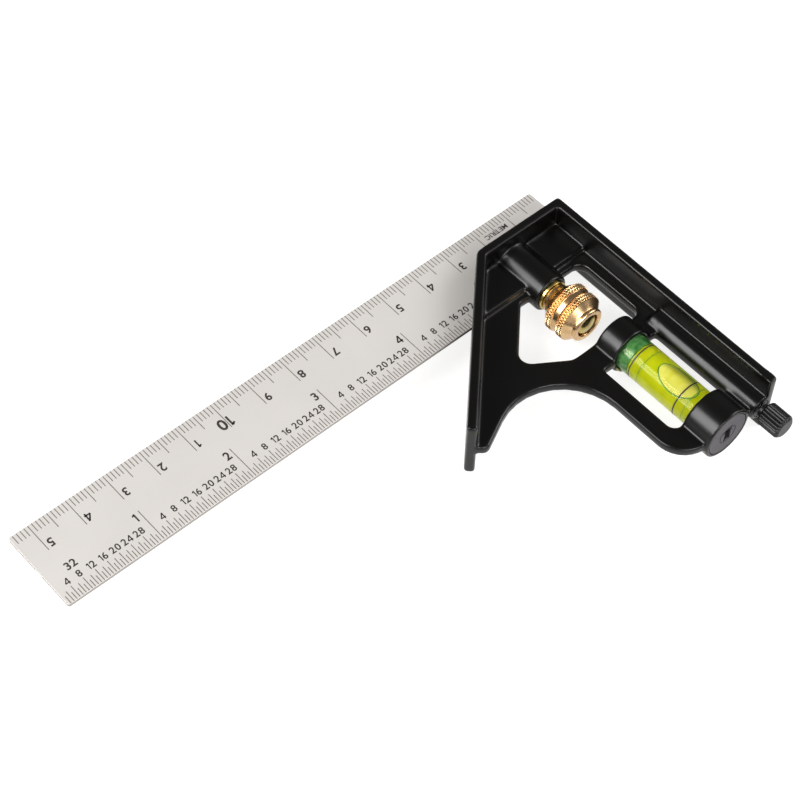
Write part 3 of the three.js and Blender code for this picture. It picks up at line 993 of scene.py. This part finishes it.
def boss_ends(field):
    """1 at the ends of the round bosses, falling to 0 over a millimetre: their edges are crisper."""
    seat = SEAT / MM
    vial = VIAL_AXIS[0] / MM
    bolt = BOLT_AXIS[0] / MM
    places = [
        (vial - 8, FACE_90 / MM + 1, 69.5, 74),
        (vial - 7, vial + 7, 39.5, 43),
        (vial - 7, vial + 7, 33.5, 36.5),
        (bolt - 6, bolt + 6, 14.5, 18),
    ]
    share = np.float32(0)
    for left, right, start, end in places:
        away = field.box((left, seat - end, -5), (right, seat - start, 22))
        share = np.maximum(share, np.clip(1 - away, 0, 1))
    return share


def softened_casting(settings):
    """The CAD head with cast edges. Its cuts are filled, and its surface is moved in and out by two
    radii: the edge radius, which rounds every outer edge, and the boss radius, which takes its place at
    the ends of the round bosses. Then it is moved out and in by the crease radius, which fillets every
    crease, and the cuts are made again with sharp edges."""
    field = DistanceField(settings.grain)
    copy = bmesh.new()
    copy.from_mesh(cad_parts["head_casting"].data)
    bmesh.ops.remove_doubles(copy, verts=copy.verts, dist=CAD_MERGE)
    points = np.array([vertex.co[:] for vertex in copy.verts]) / MM
    triangles = np.array([[vertex.index for vertex in face.verts] for face in copy.faces])
    copy.free()
    grid = field.grid_of(points, triangles, np.empty((0, 4)))

    solid = field.values(grid)
    cuts = casting_cuts(field)
    limits = casting_limits(field)
    overlap = 0.3
    for cut in cuts:
        solid = np.minimum(solid, np.maximum(cut - overlap, limits))
    filled = field.offset(field.grid_from(solid), 0.0)
    soft, crisp = [
        field.values(field.offset(field.offset(filled, -radius), radius))
        for radius in (settings.edge_radius, settings.boss_radius)
    ]
    share = boss_ends(field)
    grid = field.grid_from(soft + (crisp - soft) * share)
    grid = field.offset(field.offset(grid, settings.crease_radius), -settings.crease_radius)

    solid = field.values(grid)
    for cut in cuts:
        solid = np.maximum(solid, -cut)
    points, triangles, quads = field.grid_from(solid).convertToPolygons(0.0, 0.04)
    return points * MM, triangles.tolist() + quads.tolist()


class SQUARE_OT_head(bpy.types.Operator):
    """Makes the head casting with cast edges and enamel"""

    bl_idname = "square.head"
    bl_label = "Head casting"

    def execute(self, context):
        points, faces = softened_casting(context.scene.square_head)
        piece = object_from("enamelled_head", points, faces)
        settle(piece, "head", black_stoved_enamel(), ["head_casting"])
        return {"FINISHED"}


# ---------------------------------------------------------------- draw bolt, spring, washer and nut


# The nut's mesh: sides round it for each knurl point, steps along it for each row of knurl points, and
# the share of its radius beyond which those fine steps are used
KNURL_SIDES = 10
KNURL_STEPS = 8
KNURLED_SHARE = 0.91


class NutSettings(bpy.types.PropertyGroup):
    knurls: bpy.props.IntProperty(
        name="Knurls",
        description="Number of knurl points round the nut",
        default=48,
    )
    knurl_depth: bpy.props.FloatProperty(
        name="Knurl depth",
        description="Depth of the knurl, in millimetres",
        default=0.5,
    )
    knurl_row: bpy.props.FloatProperty(
        name="Knurl row",
        description="Height of one row of knurl points, in millimetres",
        default=0.85,
    )


class SQUARE_OT_draw_bolt(bpy.types.Operator):
    """Makes the draw bolt, its spring and the thin washer"""

    bl_idname = "square.draw_bolt"
    bl_label = "Draw bolt, spring and washer"

    def execute(self, context):
        plate = yellow_zinc_plate()
        bolt = softened_copy("draw_bolt", "hooked_bolt", 0.08 * MM)
        settle(bolt, "draw_bolt", plate, ["draw_bolt"])

        # The spread end is a disc with a domed face: r is R sin t at depth d + h cos t
        dome_start = depth_of("lock_nut")[1] / MM - 0.95
        turn = np.linspace(np.pi / 2, 0, 16)
        face = np.stack([2.95 * np.sin(turn), dome_start + 1.2 * np.cos(turn)], axis=1)
        dome = np.vstack([[0, dome_start - 0.3], [2.7, dome_start - 0.3], face])
        spread_end = turned_piece("bolt_spread_end", dome, BOLT_AXIS, 64)
        settle(spread_end, "draw_bolt", plate)

        start, end = np.array(depth_of("nut_washer")) / MM
        outer = (box_of("nut_washer")[1][0] - BOLT_AXIS[0]) / MM
        ring = soften([[2.15, start], [2.15, end], [outer, end], [outer, start]], 0.12, closed=True)
        washer = turned_piece("bright_washer", ring, BOLT_AXIS, 72, closed=True)
        settle(washer, "head", plate, ["nut_washer"])

        low, high = box_of("bolt_spring")
        wire = 0.28 * MM
        coils = 3
        turn = np.linspace(0, 1, 40 * coils + 1)
        reach = (high[0] - low[0]) / 2 - wire
        path = np.stack([
            BOLT_AXIS[0] + reach * np.cos(2 * np.pi * coils * turn),
            high[1] - wire + (low[1] - high[1] + 2 * wire) * turn,
            BOLT_AXIS[1] + reach * np.sin(2 * np.pi * coils * turn),
        ], axis=1)
        spring = carried_piece("bolt_return_spring", path, wire)
        settle(spring, "head", drawn_spring_wire(), ["bolt_spring"])
        return {"FINISHED"}


def knurl(settings, bands):
    """Relief of pointed knurling inside bands of depth. Two sets of grooves cross at a slant; between
    them h is the smaller of the two distances to a groove, so each diamond is a small pyramid."""

    def relief(radius, depth, angle):
        turn = settings.knurls * angle / (2 * np.pi)
        climb = depth / (2 * settings.knurl_row)
        first = np.abs((turn + climb) % 1 - 0.5) * 2
        second = np.abs((turn - climb) % 1 - 0.5) * 2
        height = 1 - np.maximum(first, second)
        inside = sum((depth > low) & (depth < high) for low, high in bands)
        outside_face = radius > 5.5
        return -settings.knurl_depth * (1 - 1.15 * height).clip(0, 1) * inside * outside_face

    return relief


class SQUARE_OT_lock_nut(bpy.types.Operator):
    """Makes the turned and knurled brass lock nut"""

    bl_idname = "square.lock_nut"
    bl_label = "Lock nut"

    def execute(self, context):
        settings = context.scene.square_nut
        start, end = np.array(depth_of("lock_nut")) / MM
        radius = (box_of("lock_nut")[1][0] - BOLT_AXIS[0]) / MM
        profile = soften([
            [2.15, start],
            [2.15, end - 2.1],
            [3.15, end - 2.1],
            [3.15, end - 0.2],
            [3.3, end],
            [radius * 0.66, end],
            [radius * 0.70, end - 0.3],
            [radius * 0.70, end - 0.8],
            [radius * 0.67, end - 1.1],
            [radius * 0.93, end - 2.7],
            [radius * 0.98, end - 2.9],
            [radius * 0.98, end - 4.7],
            [radius * 0.92, end - 4.9],
            [radius * 0.92, end - 6.3],
            [radius, end - 6.5],
            [radius, end - 8.1],
            [radius * 0.93, end - 8.3],
            [radius * 0.60, start + 1.2],
            [radius * 0.55, start],
        ], 0.12, steps=3, closed=True)
        profile = np.vstack([profile, profile[:1]])
        leg_radius = (profile[:-1, 0] + profile[1:, 0]) / 2
        steps = np.where(leg_radius > KNURLED_SHARE * radius, settings.knurl_row / KNURL_STEPS, 1.0)
        profile = fine_profile(profile, steps)[:-1]
        bands = [(end - 4.8, end - 2.8), (end - 8.2, end - 6.4)]
        nut = turned_piece(
            "knurled_nut", profile, BOLT_AXIS, KNURL_SIDES * settings.knurls, closed=True,
            relief=knurl(settings, bands),
        )
        settle(nut, "lock_nut", turned_brass(), ["lock_nut"])
        return {"FINISHED"}


# ---------------------------------------------------------------- vial


class VialSettings(bpy.types.PropertyGroup):
    ring_width: bpy.props.FloatProperty(
        name="Ring width",
        description="Width of the black rings round the vial, in millimetres",
        default=0.38,
    )
    first_ring: bpy.props.FloatProperty(
        name="First ring",
        description="Depth of the upper ring below the seat face, in millimetres",
        default=45.0,
    )
    second_ring: bpy.props.FloatProperty(
        name="Second ring",
        description="Depth of the lower ring below the seat face, in millimetres",
        default=59.3,
    )
    # The thin green inner rings are painted images of the black rings' far halves, seen bent through the
    # liquid
    far_ring: bpy.props.FloatProperty(
        name="Inner ring distance",
        description="How much lower the thin green inner ring stands than the black ring, in millimetres",
        default=2.3,
    )
    bubble_width: bpy.props.FloatProperty(
        name="Bubble width",
        description="Width of the bubble's oval outline, in millimetres",
        default=5.3,
    )


def bar_profile(radius, start, end):
    """The corners of a plain bar's profile, from its axis out to a radius, between two depths."""
    return [[0, start], [radius, start], [radius, end], [0, end]]


def ring_section(inner, outer, start, end):
    """The corners of a ring's section, between two radii and two depths."""
    return [[inner, start], [outer, start], [outer, end], [inner, end]]


class SQUARE_OT_vial(bpy.types.Operator):
    """Makes the level vial, its liquid, bubble, rings, ends, bedding and cushion, with a painted green
    outline round the bubble and painted images of the rings
    """

    bl_idname = "square.vial"
    bl_label = "Level vial"

    def execute(self, context):
        settings = context.scene.square_vial
        start, end = np.array(depth_of("vial_tube")) / MM
        outer = (box_of("vial_tube")[1][0] - VIAL_AXIS[0]) / MM
        liquid_start, liquid_end = np.array(depth_of("vial_liquid")) / MM
        inner = (box_of("vial_liquid")[1][0] - VIAL_AXIS[0]) / MM

        rod = soften(bar_profile(outer, start, end), 0.2)
        tube = turned_piece("vial_rod", fine_profile(rod, 1.0), VIAL_AXIS, 96)
        settle(tube, "head", clear_acrylic(), ["vial_tube"])

        level = inner - 0.5
        fill = soften(bar_profile(level, liquid_start, liquid_end), 0.3)
        liquid = turned_piece("vial_spirit", fine_profile(fill, 1.0), VIAL_AXIS, 96)
        settle(liquid, "head", fluorescent_liquid(), ["vial_liquid"])

        bubble_start, bubble_end = np.array(depth_of("vial_bubble")) / MM
        middle = (bubble_start + bubble_end) / 2
        half_length = (bubble_end - bubble_start) / 2
        half_width = settings.bubble_width / 2
        reach = np.sin(np.linspace(0, np.pi, 41))[:, None]
        above = np.cos(np.linspace(0, np.pi, 41))[:, None]
        sweep = np.linspace(0, 2 * np.pi, 96, endpoint=False)[None, :]
        across = half_width * reach * np.sin(sweep)
        along = half_length * reach * np.sign(np.cos(sweep)) * np.abs(np.cos(sweep)) ** 0.9
        swell = np.where(above > 0, 0.45, 0.2) * above
        points = np.stack([
            VIAL_AXIS[0] + across * MM,
            SEAT - (middle + along) * MM,
            VIAL_AXIS[1] + (np.sqrt(level ** 2 - across ** 2) + swell) * MM,
        ], axis=-1)
        bubble = object_from("vial_air", points, grid_faces(*across.shape))
        settle(bubble, "bubble", air_in_liquid(), ["vial_bubble"])

        # Painted outline: a thin dark green ring round the bubble, standing in for the dark edge that bent
        # light gives a bubble
        rim = points[len(points) // 2] + [0, 0, 0.06 * MM]
        painted_bubble_outline = carried_piece("vial_painted_bubble_outline", rim, 0.16 * MM, 8, loop=True)
        painted_green = line_paint("painted green bubble outline and ring images", "#4b8f2c")
        settle(painted_bubble_outline, "bubble", painted_green)
        # Painted ring images: thin green rings inside the liquid, standing in for the black rings' far
        # halves seen through it
        painted_ring_images = {
            "vial_painted_ring_image_upper": settings.first_ring + settings.far_ring,
            "vial_painted_ring_image_lower": settings.second_ring + settings.far_ring,
        }
        for name, place in painted_ring_images.items():
            section = ring_section(inner + 0.03, inner + 0.08, place - 0.09, place + 0.09)
            settle(turned_piece(name, section, VIAL_AXIS, 96, closed=True), "head", painted_green)

        stopper_start, stopper_end = np.array(depth_of("vial_stopper")) / MM
        green = green_end_plug()
        plug = soften(bar_profile(inner, stopper_start, stopper_end), 0.2)
        stopper = turned_piece("vial_end_stopper", plug, VIAL_AXIS, 64)
        settle(stopper, "head", green, ["vial_stopper"])

        root = soften(bar_profile(inner, start + 0.6, liquid_start - 0.1), 0.2)
        closed_end = turned_piece("vial_closed_end", root, VIAL_AXIS, 64)
        settle(closed_end, "head", green)

        black = line_paint("black ring paint", "#0a0a07")
        half = settings.ring_width / 2
        rings = {"vial_ring_upper": settings.first_ring, "vial_ring_lower": settings.second_ring}
        for name, depth in rings.items():
            section = ring_section(outer - 0.02, outer + 0.02, depth - half, depth + half)
            ring = turned_piece(name, section, VIAL_AXIS, 96, closed=True)
            settle(ring, "head", black)

        cushion_start, cushion_end = np.array(depth_of("vial_cushion")) / MM
        disc = soften(bar_profile(outer, cushion_start, cushion_end), 0.25)
        cushion = turned_piece("vial_rubber_disc", disc, VIAL_AXIS, 64)
        settle(cushion, "head", black_rubber(), ["vial_cushion"])

        bead_start, bead_end = np.array(depth_of("vial_bedding")) / MM
        bead_radius = (VIAL_AXIS[1] - box_of("vial_bedding")[0][2]) / MM
        sweep = np.linspace(np.radians(106), np.radians(254), 60)
        reach = (outer + 0.06 + (bead_radius - outer - 0.06) / 2) * MM
        path = np.stack([
            VIAL_AXIS[0] + reach * np.sin(sweep),
            np.full(60, SEAT - (bead_start + bead_end) / 2 * MM),
            VIAL_AXIS[1] + reach * np.cos(sweep),
        ], axis=1)
        lump = 0.85 + 0.12 * np.sin(9 * sweep) + 0.03 * np.sin(23 * sweep)
        taper = np.sin(np.linspace(0, np.pi, 60)) ** 0.25
        thickness = (bead_radius - outer - 0.06) / 2 * MM * lump * taper
        bead = carried_piece("vial_adhesive_bead", path, thickness, 14)
        settle(bead, "head", cured_adhesive(), ["vial_bedding"])
        return {"FINISHED"}


class SQUARE_OT_holder_plug(bpy.types.Operator):
    """Makes the slotted disc that closes the vial's holder"""

    bl_idname = "square.holder_plug"
    bl_label = "Holder plug"

    def execute(self, context):
        piece = softened_copy("holder_plug", "slotted_plug", 0.22 * MM)
        settle(piece, "head", moulded_grey_plastic(), ["holder_plug"])
        return {"FINISHED"}


# ---------------------------------------------------------------- scriber


class ScriberSettings(bpy.types.PropertyGroup):
    flutes: bpy.props.IntProperty(
        name="Flutes",
        description="Number of flutes round the knob",
        default=20,
    )
    flute_depth: bpy.props.FloatProperty(
        name="Flute depth",
        description="Depth of a flute, in millimetres",
        default=0.32,
    )


class SQUARE_OT_scriber(bpy.types.Operator):
    """Makes the scriber's needle, fluted knob and split bush"""

    bl_idname = "square.scriber"
    bl_label = "Scriber"

    def execute(self, context):
        settings = context.scene.square_scriber
        start, end = np.array(depth_of("scriber_needle")) / MM
        radius = (box_of("scriber_needle")[1][0] - SCRIBER_AXIS[0]) / MM
        taper = 9.0
        needle = turned_piece(
            "scribing_needle",
            [[0, start], [radius, start + taper], [radius, end], [0, end]],
            SCRIBER_AXIS,
            48,
        )
        settle(needle, "scriber", ground_tool_steel(), ["scriber_needle"])

        neck_start, knob_end = np.array(depth_of("scriber_knob")) / MM
        grip = (box_of("scriber_knob")[1][0] - SCRIBER_AXIS[0]) / MM
        grip_start = neck_start + 1.0
        profile = soften([
            [radius + 0.05, neck_start],
            [1.9, neck_start],
            [1.9, grip_start],
            [grip - 0.35, grip_start],
            [grip, grip_start + 0.35],
            [grip, knob_end - 0.7],
            [grip - 0.7, knob_end],
            [grip - 1.1, knob_end],
            [0, knob_end],
        ], 0.15)
        profile = np.vstack([[0, end + 0.1], [radius + 0.05, end + 0.1], profile])

        def flutes(around, depth, angle):
            """Flutes: the radius dips by depth times 1 - |cos(n a / 2)|, fading out at both ends."""
            wave = 1 - np.abs(np.cos(settings.flutes * angle / 2))
            outer = np.clip((around - grip + 0.75) / 0.5, 0, 1)
            return -settings.flute_depth * wave * outer

        knob = turned_piece(
            "fluted_knob", fine_profile(profile, 0.4), SCRIBER_AXIS, 10 * settings.flutes, relief=flutes
        )
        plastic = moulded_black_plastic()
        settle(knob, "scriber", plastic, ["scriber_knob"])

        bush = softened_copy("scriber_bush", "split_bush", 0.05 * MM)
        settle(bush, "head", plastic, ["scriber_bush"])
        return {"FINISHED"}


# ---------------------------------------------------------------- stage


class StageSettings(bpy.types.PropertyGroup):
    floor_colour: bpy.props.FloatVectorProperty(
        name="Floor colour",
        description="Colour of the pale floor",
        default=linear("#f7f7f6")[:3],
        size=3,
        subtype="COLOR",
    )
    aim: bpy.props.FloatVectorProperty(
        name="Aim",
        description="The point that the camera looks at",
        default=(0.020887, 0.009144, 0.009),
        size=3,
        subtype="XYZ",
        unit="LENGTH",
    )
    distance: bpy.props.FloatProperty(
        name="Distance",
        description="Distance from the camera to the point that it looks at",
        default=0.470160,
        unit="LENGTH",
    )
    azimuth: bpy.props.FloatProperty(
        name="Azimuth",
        description="The camera's turn about the vertical",
        default=math.radians(-45.5437),
        subtype="ANGLE",
    )
    elevation: bpy.props.FloatProperty(
        name="Elevation",
        description="The camera's height above the horizon, as an angle",
        default=math.radians(53.5520),
        subtype="ANGLE",
    )
    roll: bpy.props.FloatProperty(
        name="Roll",
        description="The camera's tilt about its line of sight",
        default=math.radians(4.0872),
        subtype="ANGLE",
    )
    lens: bpy.props.FloatProperty(
        name="Lens",
        description="Focal length, on a 36 mm sensor",
        default=92.627,
        unit="CAMERA",
    )
    shift: bpy.props.FloatVectorProperty(
        name="Shift",
        description="How far the picture is moved sideways and up, as a share of its width",
        default=(-0.0718, 0.0022),
        size=2,
    )


def pale_floor_paint(colour):
    """A matt pale table top, faintly lit from below, so that shadows on it are soft and weak."""
    material, tree = new_material("pale lit table top")
    clouds = noise(tree, pattern_place(tree), 0.2)
    own_light = 0.88
    finish_material(tree, {
        "Base Color": [part * 0.3 for part in colour] + [1.0],
        "Roughness": spread(tree, clouds, 0.85, 0.95),
        "Emission Color": (*colour, 1.0),
        "Emission Strength": own_light,
    })
    return material


def add_light(name, place, size, power, aim):
    """A large square soft light that faces the aim point."""
    lamp = bpy.data.lights.new(name, "AREA")
    lamp.shape = "RECTANGLE"
    lamp.size, lamp.size_y = size
    lamp.energy = power
    holder = bpy.data.objects.new(name, lamp)
    holder.location = place
    holder.rotation_euler = (Vector(aim) - Vector(place)).to_track_quat("-Z", "Y").to_euler()
    bpy.context.scene.collection.objects.link(holder)


class SQUARE_OT_stage(bpy.types.Operator):
    """Makes the floor, the lights and the camera"""

    bl_idname = "square.stage"
    bl_label = "Stage"

    def execute(self, context):
        settings = context.scene.square_stage
        reach = 3.0
        low = HEAD_LOW[2] - 0.05 * MM
        corners = [[-reach, -reach, low], [reach, -reach, low], [reach, reach, low], [-reach, reach, low]]
        mesh = bpy.data.meshes.new("floor")
        mesh.from_pydata(corners, [], [[0, 1, 2, 3]])
        floor = bpy.data.objects.new("floor", mesh)
        context.scene.collection.objects.link(floor)
        mesh.materials.append(pale_floor_paint(settings.floor_colour))

        world = bpy.data.worlds.new("soft studio")
        world.use_nodes = True
        world.node_tree.nodes["Background"].inputs["Color"].default_value = linear("#fbfbff")
        world.node_tree.nodes["Background"].inputs["Strength"].default_value = 0.18
        context.scene.world = world
        context.scene.view_settings.view_transform = "Standard"

        aim = settings.aim
        add_light("left soft box", (-1.50, 0.55, 1.30), (1.3, 1.3), 72.0, aim)
        add_light("front soft box", (-0.40, -1.80, 1.30), (1.5, 1.1), 50.0, aim)
        add_light("right soft box", (1.70, -0.75, 1.20), (1.3, 1.3), 34.0, aim)

        azimuth = settings.azimuth
        back = Vector((
            math.sin(azimuth) * math.cos(settings.elevation),
            -math.cos(azimuth) * math.cos(settings.elevation),
            math.sin(settings.elevation),
        ))
        right = (-back).cross(Vector((0, 0, 1))).normalized()
        up = right.cross(-back)
        turned_right = math.cos(settings.roll) * right + math.sin(settings.roll) * up
        turned_up = -math.sin(settings.roll) * right + math.cos(settings.roll) * up
        lens = bpy.data.cameras.new("camera")
        lens.lens = settings.lens
        lens.sensor_width = 36
        lens.clip_start = 0.01
        lens.shift_x, lens.shift_y = settings.shift
        camera = bpy.data.objects.new("camera", lens)
        turn = Matrix((turned_right, turned_up, back)).transposed().to_4x4()
        camera.matrix_world = Matrix.Translation(Vector(aim) + back * settings.distance) @ turn
        context.scene.collection.objects.link(camera)
        context.scene.camera = camera
        return {"FINISHED"}


# ---------------------------------------------------------------- panel and registration

MAKERS = (
    SQUARE_OT_stage,
    SQUARE_OT_blade,
    SQUARE_OT_graduations,
    SQUARE_OT_head,
    SQUARE_OT_draw_bolt,
    SQUARE_OT_lock_nut,
    SQUARE_OT_vial,
    SQUARE_OT_holder_plug,
    SQUARE_OT_scriber,
)
SETTINGS = {
    "square_blade": BladeSettings,
    "square_head": HeadSettings,
    "square_nut": NutSettings,
    "square_vial": VialSettings,
    "square_scriber": ScriberSettings,
    "square_stage": StageSettings,
}


class SQUARE_PT_panel(bpy.types.Panel):
    """Lists the settings and the steps that build the square"""

    bl_idname = "SQUARE_PT_panel"
    bl_label = "Combination square"
    bl_space_type = "VIEW_3D"
    bl_region_type = "UI"
    bl_category = "Square"

    def draw(self, context):
        for maker in MAKERS:
            self.layout.operator(maker.bl_idname)
        for name, group in SETTINGS.items():
            box = self.layout.box()
            for key in group.__annotations__:
                box.prop(getattr(context.scene, name), key)


def register():
    for group in SETTINGS.values():
        bpy.utils.register_class(group)
    for maker in MAKERS:
        bpy.utils.register_class(maker)
    bpy.utils.register_class(SQUARE_PT_panel)
    for name, group in SETTINGS.items():
        setattr(bpy.types.Scene, name, bpy.props.PointerProperty(type=group))


def unregister():
    for name in SETTINGS:
        delattr(bpy.types.Scene, name)
    bpy.utils.unregister_class(SQUARE_PT_panel)
    for maker in reversed(MAKERS):
        bpy.utils.unregister_class(maker)
    for group in SETTINGS.values():
        bpy.utils.unregister_class(group)


def main():
    register()
    bpy.ops.square.stage()
    bpy.ops.square.blade()
    bpy.ops.square.graduations()
    bpy.ops.square.head()
    bpy.ops.square.draw_bolt()
    bpy.ops.square.lock_nut()
    bpy.ops.square.vial()
    bpy.ops.square.holder_plug()
    bpy.ops.square.scriber()
    bpy.context.view_layer.update()


if __name__ == "__main__":
    main()
